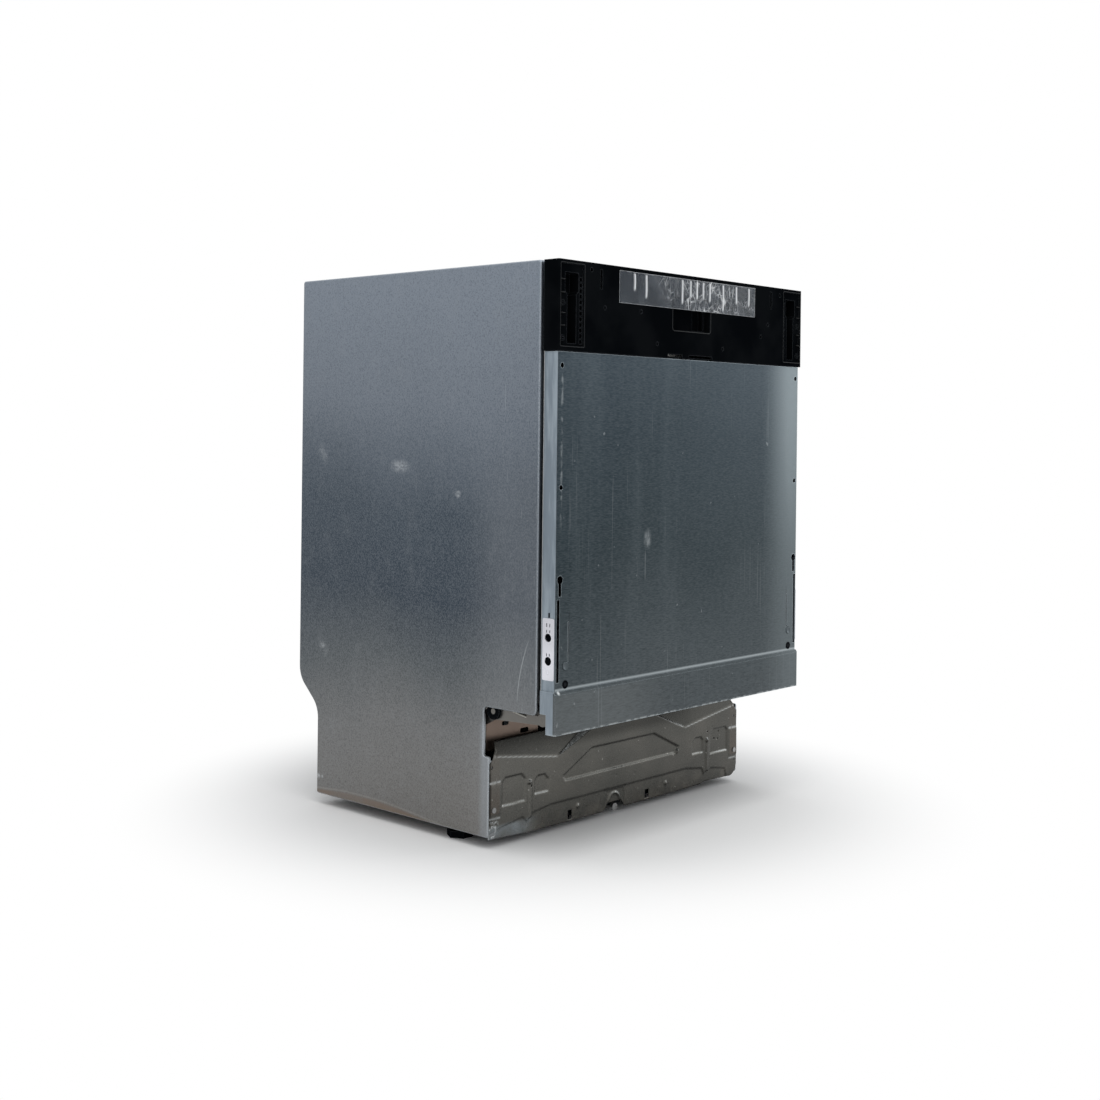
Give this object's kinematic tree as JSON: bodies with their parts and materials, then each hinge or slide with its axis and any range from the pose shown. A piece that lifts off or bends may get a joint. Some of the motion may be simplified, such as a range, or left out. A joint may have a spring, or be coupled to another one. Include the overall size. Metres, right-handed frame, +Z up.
{
  "type": "built-in dishwasher",
  "caption": "Built-in dishwasher with a galvanised cabinet, a drop-down door for a furniture panel, a black fascia, an embossed plinth, pull-out racks and spray arms.",
  "frame": {"origin": "middle of the machine on the floor, under the centre of its box", "axes": "+Z up, front and door towards -Y, +X to the right seen from the front"},
  "size_m": [0.598, 0.55, 0.825],
  "materials": {
    "side_sheet": "satin galvanised sheet",
    "door_sheet": "satin galvanised sheet",
    "plinth_sheet": "embossed galvanised sheet",
    "stainless": "stainless sheet",
    "steel": "zinc plated steel",
    "black_plastic": "satin black plastic",
    "grey_plastic": "grey plastic",
    "white_plastic": "white plastic",
    "light_plastic": "light grey plastic",
    "film": "clear protective film",
    "glass": "dark display window",
    "rubber": "black rubber",
    "mat": "bitumen mat",
    "rope": "braided cord",
    "coated_wire": "grey coated wire"
  },
  "bodies": {
    "cabinet": {"side_panel_left": "side_sheet", "side_panel_right": "side_sheet", "rear_panel": "side_sheet", "top_front_rail": "side_sheet", "tub_top_mat": "mat", "plinth_panel": "plinth_sheet", "plinth_screws": "steel", "base_pan": "black_plastic", "tub_shell": "stainless", "tub_floor": "stainless", "door_seal": "rubber", "sump": "grey_plastic", "fine_filter": "grey_plastic", "softener_tank": "grey_plastic", "pump_housing": "grey_plastic", "drain_pump": "grey_plastic", "inlet_valve": "grey_plastic", "drain_outlet": "grey_plastic", "power_inlet": "grey_plastic", "feed_pipe": "grey_plastic", "heat_exchanger": "white_plastic", "hinge_brackets": "steel", "door_springs": "steel", "spring_ropes": "rope", "rack_rails": "stainless", "door_catch": "steel", "spray_arm_support": "grey_plastic"},
    "door": {"door_outer_panel": "door_sheet", "door_liner": "stainless", "fascia": "black_plastic", "fascia_film": "film", "control_board": "grey_plastic", "display_window": "glass", "hinge_arms": "steel", "door_side_plates": "white_plastic", "dispenser_body": "light_plastic"},
    "lower_rack": {"lower_rack": "coated_wire"},
    "upper_rack": {"upper_rack": "coated_wire", "upper_feed_tube": "grey_plastic"},
    "filter_cylinder": {"filter_cylinder": "grey_plastic"},
    "salt_cap": {"salt_cap": "white_plastic"},
    "pump_impeller": {"pump_impeller": "grey_plastic"},
    "float": {"float": "white_plastic"},
    "spring_pulleys": {"spring_pulleys": "black_plastic"},
    "front_foot_left": {"front_foot_left": "black_plastic"},
    "front_foot_right": {"front_foot_right": "black_plastic"},
    "rear_foot": {"rear_foot": "black_plastic"},
    "rear_foot_adjuster": {"rear_foot_adjuster": "steel"},
    "lower_spray_arm": {"lower_spray_arm": "grey_plastic"},
    "dispenser_lid": {"dispenser_lid": "light_plastic"},
    "rinse_aid_cap": {"rinse_aid_cap": "light_plastic"},
    "power_button": {"power_button": "black_plastic"},
    "program_button": {"program_button": "black_plastic"},
    "start_button": {"start_button": "black_plastic"},
    "latch_lever": {"latch_lever": "black_plastic"},
    "lower_front_wheels": {"lower_front_wheels": "grey_plastic"},
    "lower_rear_wheels": {"lower_rear_wheels": "grey_plastic"},
    "cutlery_basket": {"cutlery_basket": "grey_plastic"},
    "fold_down_tines": {"fold_down_tines": "coated_wire"},
    "upper_spray_arm": {"upper_spray_arm": "grey_plastic"}
  },
  "joints": [
    {"name": "door_hinge", "type": "hinge", "parent": "cabinet", "child": "door", "pos_m": [0, -0.249, 0.195], "axis": [1, 0, 0], "range_deg": [0, 90], "stiffness_Nm_per_rad": 17, "deforming": ["door_springs", "spring_ropes"]},
    {"name": "spring_pulley_spin", "type": "hinge", "parent": "cabinet", "child": "spring_pulleys", "pos_m": [0, -0.155, 0.195], "axis": [1, 0, 0], "range_deg": [0, 170]},
    {"name": "lower_rack_slide", "type": "slide", "parent": "cabinet", "child": "lower_rack", "axis": [0, -1, 0], "range_m": [0, 0.016]},
    {"name": "upper_rack_slide", "type": "slide", "parent": "cabinet", "child": "upper_rack", "axis": [0, -1, 0], "range_m": [0, 0.016]},
    {"name": "lower_front_wheels_roll", "type": "hinge", "parent": "lower_rack", "child": "lower_front_wheels", "pos_m": [0, -0.15, 0.2243], "axis": [1, 0, 0], "range_deg": [0, 60]},
    {"name": "lower_rear_wheels_roll", "type": "hinge", "parent": "lower_rack", "child": "lower_rear_wheels", "pos_m": [0, 0.16, 0.2243], "axis": [1, 0, 0], "range_deg": [0, 60]},
    {"name": "cutlery_basket_lift", "type": "slide", "parent": "lower_rack", "child": "cutlery_basket", "axis": [0, 0, 1], "range_m": [0, 0.06]},
    {"name": "tines_fold", "type": "hinge", "parent": "lower_rack", "child": "fold_down_tines", "pos_m": [-0.12, 0, 0.2743], "axis": [0, -1, 0], "range_deg": [0, 80]},
    {"name": "lower_spray_arm_spin", "type": "hinge", "parent": "cabinet", "child": "lower_spray_arm", "pos_m": [0, 0.008, 0.24115], "axis": [0, 0, 1], "continuous": true},
    {"name": "upper_spray_arm_spin", "type": "hinge", "parent": "upper_rack", "child": "upper_spray_arm", "pos_m": [0, 0.008, 0.46085], "axis": [0, 0, 1], "continuous": true},
    {"name": "pump_impeller_spin", "type": "hinge", "parent": "cabinet", "child": "pump_impeller", "pos_m": [0.158, -0.07, 0.15], "axis": [1, 0, 0], "continuous": true},
    {"name": "filter_twist", "type": "hinge", "parent": "cabinet", "child": "filter_cylinder", "pos_m": [0.07, -0.07, 0.2], "axis": [0, 0, 1], "range_deg": [0, 90]},
    {"name": "salt_cap_twist", "type": "hinge", "parent": "cabinet", "child": "salt_cap", "pos_m": [-0.17, 0.06, 0.21], "axis": [0, 0, 1], "range_deg": [0, 360]},
    {"name": "float_rise", "type": "slide", "parent": "cabinet", "child": "float", "axis": [0, 0, 1], "range_m": [0, 0.012]},
    {"name": "front_foot_left_height", "type": "slide", "parent": "cabinet", "child": "front_foot_left", "axis": [0, 0, -1], "range_m": [0, 0.05]},
    {"name": "front_foot_right_height", "type": "slide", "parent": "cabinet", "child": "front_foot_right", "axis": [0, 0, -1], "range_m": [0, 0.05]},
    {"name": "rear_foot_height", "type": "slide", "parent": "cabinet", "child": "rear_foot", "axis": [0, 0, -1], "range_m": [0, 0.05]},
    {"name": "rear_foot_adjuster_turn", "type": "hinge", "parent": "cabinet", "child": "rear_foot_adjuster", "pos_m": [-0.021, 0, 0.012], "axis": [0, 1, 0], "range_deg": [0, 3600]},
    {"name": "dispenser_lid_slide", "type": "slide", "parent": "door", "child": "dispenser_lid", "axis": [0, 0, 1], "range_m": [0, 0.07]},
    {"name": "rinse_aid_cap_twist", "type": "hinge", "parent": "door", "child": "rinse_aid_cap", "pos_m": [0.055, -0.232, 0.53], "axis": [0, 1, 0], "range_deg": [0, 90]},
    {"name": "power_button_press", "type": "slide", "parent": "door", "child": "power_button", "axis": [0, 0, -1], "range_m": [0, 0.0015], "stiffness_N_per_m": 400},
    {"name": "program_button_press", "type": "slide", "parent": "door", "child": "program_button", "axis": [0, 0, -1], "range_m": [0, 0.0015], "stiffness_N_per_m": 400},
    {"name": "start_button_press", "type": "slide", "parent": "door", "child": "start_button", "axis": [0, 0, -1], "range_m": [0, 0.0015], "stiffness_N_per_m": 400},
    {"name": "latch_lever_dip", "type": "hinge", "parent": "door", "child": "latch_lever", "pos_m": [0, -0.264, 0.806], "axis": [-1, 0, 0], "range_deg": [0, 6], "stiffness_Nm_per_rad": 0.5}
  ],
  "couplings": [
    {"joint": "spring_pulley_spin", "follows": "door_hinge", "ratio": 1.82},
    {"joint": "lower_front_wheels_roll", "follows": "lower_rack_slide", "rad_per_m": 55.56},
    {"joint": "lower_rear_wheels_roll", "follows": "lower_rack_slide", "rad_per_m": 55.56},
    {"joint": "rear_foot_height", "follows": "rear_foot_adjuster_turn", "m_per_rad": 0.000795}
  ]
}
